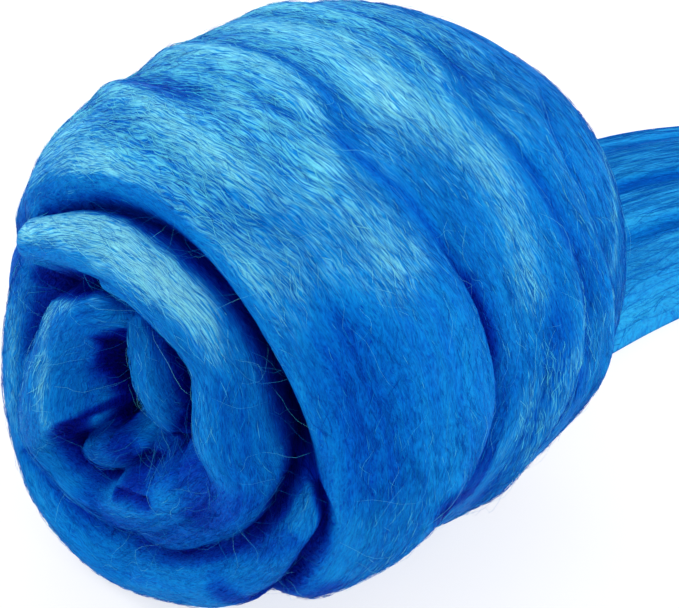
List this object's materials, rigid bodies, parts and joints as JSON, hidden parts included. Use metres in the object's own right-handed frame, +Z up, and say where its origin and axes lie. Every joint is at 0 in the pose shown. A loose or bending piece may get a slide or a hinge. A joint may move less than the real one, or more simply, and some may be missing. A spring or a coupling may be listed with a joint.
{
  "type": "ball of wool roving",
  "caption": "Wound ball of wool roving lying on its side, with rolled rose-like folds at one end and a loose pleated end laid out behind it.",
  "frame": {"origin": "middle of the flat spot that the ball rests on, at the level of the surface", "axes": "+Z up; the roving is wound round Y, -Y is the end with the rolled folds, and the loose end leaves towards +Y"},
  "size_m": [0.1433, 0.3002, 0.1318],
  "materials": {
    "ball_wool": "azure blue combed wool, soft and slightly lustrous, fibres along the turns",
    "loose_end_wool": "azure blue combed wool, soft and slightly lustrous, fibres along its length"
  },
  "bodies": {
    "root": {"ball": "ball_wool", "loose_end": "loose_end_wool"}
  },
  "joints": []
}
